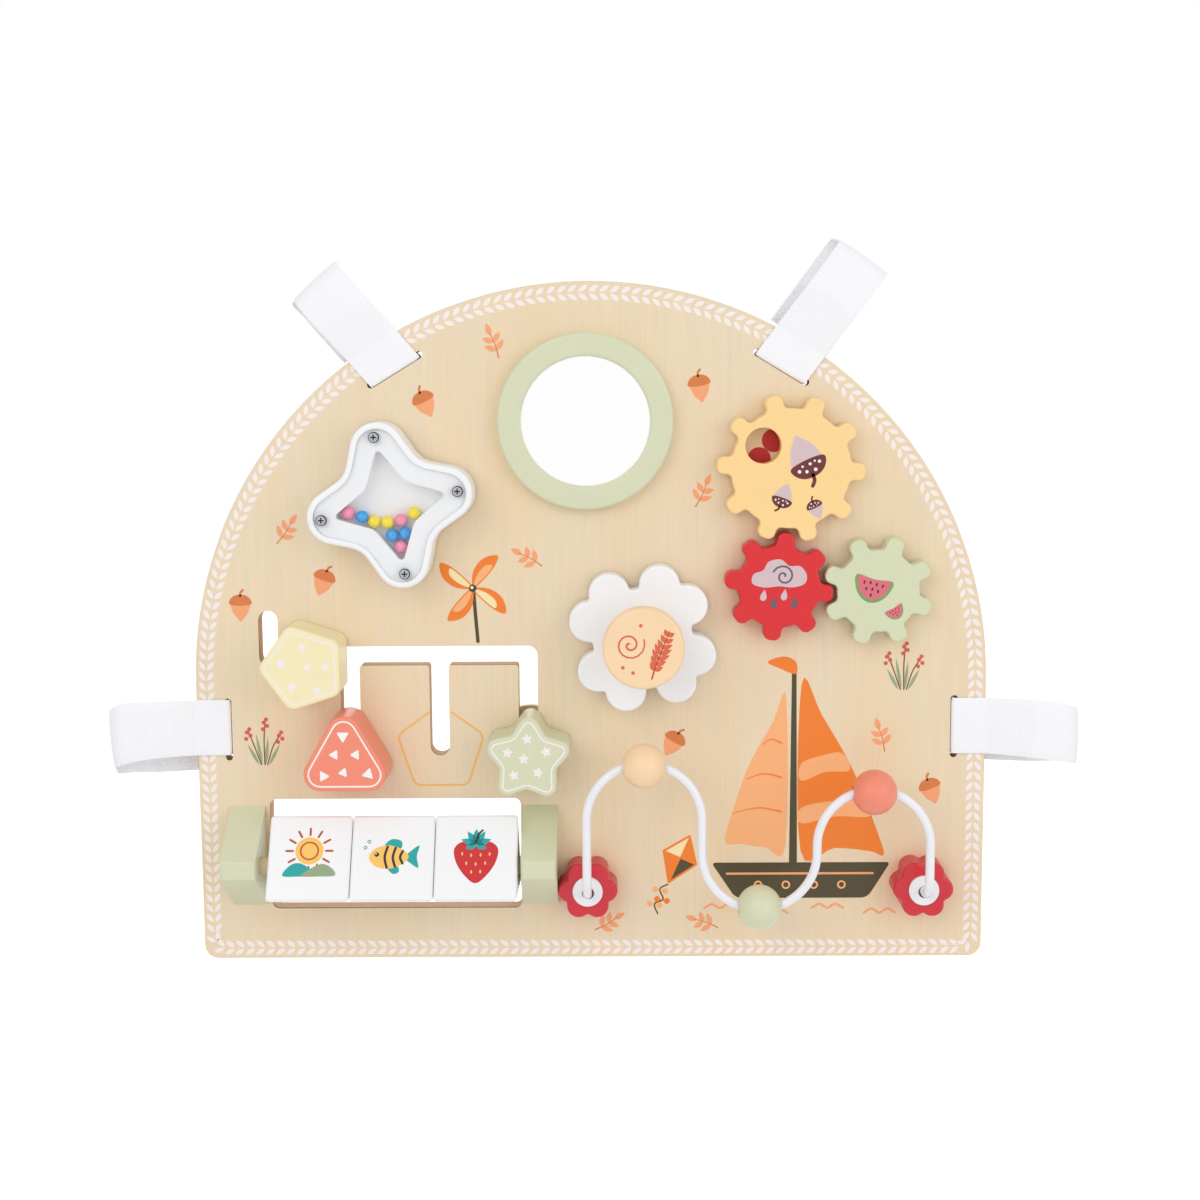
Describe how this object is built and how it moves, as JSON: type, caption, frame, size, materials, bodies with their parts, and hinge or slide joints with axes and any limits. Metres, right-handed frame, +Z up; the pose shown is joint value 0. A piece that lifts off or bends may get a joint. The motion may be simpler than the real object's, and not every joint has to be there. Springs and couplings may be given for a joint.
{
  "type": "wooden busy board",
  "caption": "Arched wooden activity board with webbing loops, mirror, bead shaker, meshed gears, flower spinner, shapes on a slotted track, turning picture blocks and a bead maze.",
  "frame": {"origin": "middle of the straight bottom edge, at half the board's thickness", "axes": "+Z up the board, -Y out of its front face, +X to the right as seen from the front"},
  "size_m": [0.5526, 0.0718, 0.4128],
  "materials": {
    "board_wood": "printed and clear-coated plywood, satin",
    "webbing": "woven matt",
    "hook_patch": "hook-and-loop pile",
    "sage_paint": "satin paint",
    "mirror_glass": "polished",
    "white_paint": "satin paint",
    "clear_window": "clear and polished",
    "dark_steel": "satin black",
    "steel": "brushed",
    "pink_bead": "glossy",
    "blue_bead": "glossy",
    "yellow_bead": "glossy",
    "spacer_plastic": "matt",
    "yellow_paint": "satin paint",
    "red_paint": "satin paint",
    "pale_green_paint": "satin paint",
    "peach_paint": "satin paint",
    "cream_paint": "satin paint",
    "coral_paint": "satin paint",
    "bare_wood": "sanded",
    "picture_paint": "printed satin paint",
    "maze_red_paint": "satin paint",
    "white_wire": "smooth white coating",
    "white_washer": "glossy"
  },
  "bodies": {
    "board": {"base_board": "board_wood", "strap_top_left": "webbing", "strap_top_right": "webbing", "strap_side_left": "webbing", "strap_side_right": "webbing", "strap_hook_patches": "hook_patch", "mirror_ring": "sage_paint", "mirror_disc": "mirror_glass", "drum_bracket_left": "sage_paint", "drum_bracket_right": "sage_paint", "drum_bracket_screws": "steel", "drum_axle": "bare_wood", "maze_wire": "white_wire", "maze_base_left": "maze_red_paint", "maze_base_right": "maze_red_paint", "maze_washers": "white_washer", "maze_base_screws": "steel"},
    "star_shaker": {"star_body": "white_paint", "star_window": "clear_window", "star_window_screws": "dark_steel", "shaker_beads_pink": "pink_bead", "shaker_beads_blue": "blue_bead", "shaker_beads_yellow": "yellow_bead", "star_pivot_bolt": "steel", "star_spacer": "spacer_plastic"},
    "flower": {"flower_petals": "white_paint", "flower_stem": "bare_wood", "flower_knob": "peach_paint", "flower_pivot_bolt": "steel", "flower_spacer": "spacer_plastic"},
    "gear_yellow": {"gear_yellow": "yellow_paint", "gear_yellow_pivot_bolt": "steel", "gear_yellow_spacer": "spacer_plastic"},
    "gear_red": {"gear_red": "red_paint", "gear_red_pivot_bolt": "steel", "gear_red_spacer": "spacer_plastic"},
    "gear_green": {"gear_green": "pale_green_paint", "gear_green_pivot_bolt": "steel", "gear_green_spacer": "spacer_plastic"},
    "pentagon_carriage": {"pentagon_slider_bushing": "spacer_plastic"},
    "pentagon_slider": {"pentagon_slider_block": "cream_paint", "pentagon_slider_retainer": "bare_wood", "pentagon_slider_screw": "steel"},
    "triangle_carriage": {"triangle_slider_bushing": "spacer_plastic"},
    "triangle_slider": {"triangle_slider_block": "coral_paint", "triangle_slider_retainer": "bare_wood", "triangle_slider_screw": "steel"},
    "star_carriage": {"star_slider_bushing": "spacer_plastic"},
    "star_slider": {"star_slider_block": "sage_paint", "star_slider_retainer": "bare_wood", "star_slider_screw": "steel"},
    "drum_left": {"drum_block_left": "picture_paint"},
    "drum_middle": {"drum_block_middle": "picture_paint"},
    "drum_right": {"drum_block_right": "picture_paint"},
    "bead_peach": {"maze_bead_peach": "peach_paint"},
    "bead_sage": {"maze_bead_sage": "sage_paint"},
    "bead_coral": {"maze_bead_coral": "coral_paint"}
  },
  "joints": [
    {"name": "star_spin", "type": "hinge", "parent": "board", "child": "star_shaker", "pos_m": [-0.1093, -0.006, 0.2647], "axis": [0, -1, 0], "continuous": true},
    {"name": "gear_yellow_spin", "type": "hinge", "parent": "board", "child": "gear_yellow", "pos_m": [0.11232, -0.006, 0.28321], "axis": [0, -1, 0], "continuous": true},
    {"name": "gear_red_spin", "type": "hinge", "parent": "board", "child": "gear_red", "pos_m": [0.1061, -0.006, 0.2174], "axis": [0, -1, 0], "continuous": true},
    {"name": "gear_green_spin", "type": "hinge", "parent": "board", "child": "gear_green", "pos_m": [0.16133, -0.006, 0.2147], "axis": [0, -1, 0], "continuous": true},
    {"name": "flower_spin", "type": "hinge", "parent": "board", "child": "flower", "pos_m": [0.0298, -0.006, 0.1887], "axis": [0, -1, 0], "continuous": true},
    {"name": "pentagon_slide", "type": "slide", "parent": "board", "child": "pentagon_carriage", "axis": [1, 0, 0], "range_m": [-0.0242, 0.0725]},
    {"name": "pentagon_swivel", "type": "hinge", "parent": "pentagon_carriage", "child": "pentagon_slider", "pos_m": [-0.1585, -0.006, 0.1753], "axis": [0, -1, 0], "continuous": true},
    {"name": "triangle_slide", "type": "slide", "parent": "board", "child": "triangle_carriage", "axis": [0, 0, 1], "range_m": [0, 0.007]},
    {"name": "triangle_swivel", "type": "hinge", "parent": "triangle_carriage", "child": "triangle_slider", "pos_m": [-0.1367, -0.006, 0.1231], "axis": [0, -1, 0], "continuous": true},
    {"name": "star_slide", "type": "slide", "parent": "board", "child": "star_carriage", "axis": [0, 0, 1], "range_m": [0, 0.04573]},
    {"name": "star_swivel", "type": "hinge", "parent": "star_carriage", "child": "star_slider", "pos_m": [-0.0345, -0.006, 0.1231], "axis": [0, -1, 0], "continuous": true},
    {"name": "drum_left_spin", "type": "hinge", "parent": "board", "child": "drum_left", "pos_m": [0, -0.0245, 0.0605], "axis": [1, 0, 0], "continuous": true},
    {"name": "drum_middle_spin", "type": "hinge", "parent": "board", "child": "drum_middle", "pos_m": [0, -0.0245, 0.0605], "axis": [1, 0, 0], "continuous": true},
    {"name": "drum_right_spin", "type": "hinge", "parent": "board", "child": "drum_right", "pos_m": [0, -0.0245, 0.0605], "axis": [1, 0, 0], "continuous": true},
    {"name": "bead_peach_slide", "type": "hinge", "parent": "board", "child": "bead_peach", "pos_m": [0.03, -0.043, 0.0903], "axis": [0, -1, 0], "range_deg": [-68, 68]},
    {"name": "bead_sage_slide", "type": "hinge", "parent": "board", "child": "bead_sage", "pos_m": [0.0939, -0.043, 0.0715], "axis": [0, -1, 0], "range_deg": [-68, 68]},
    {"name": "bead_coral_slide", "type": "hinge", "parent": "board", "child": "bead_coral", "pos_m": [0.1571, -0.043, 0.0757], "axis": [0, -1, 0], "range_deg": [-68, 68]}
  ],
  "couplings": [
    {"joint": "gear_red_spin", "follows": "gear_yellow_spin", "ratio": -1.25},
    {"joint": "gear_green_spin", "follows": "gear_yellow_spin", "ratio": 1.25}
  ]
}
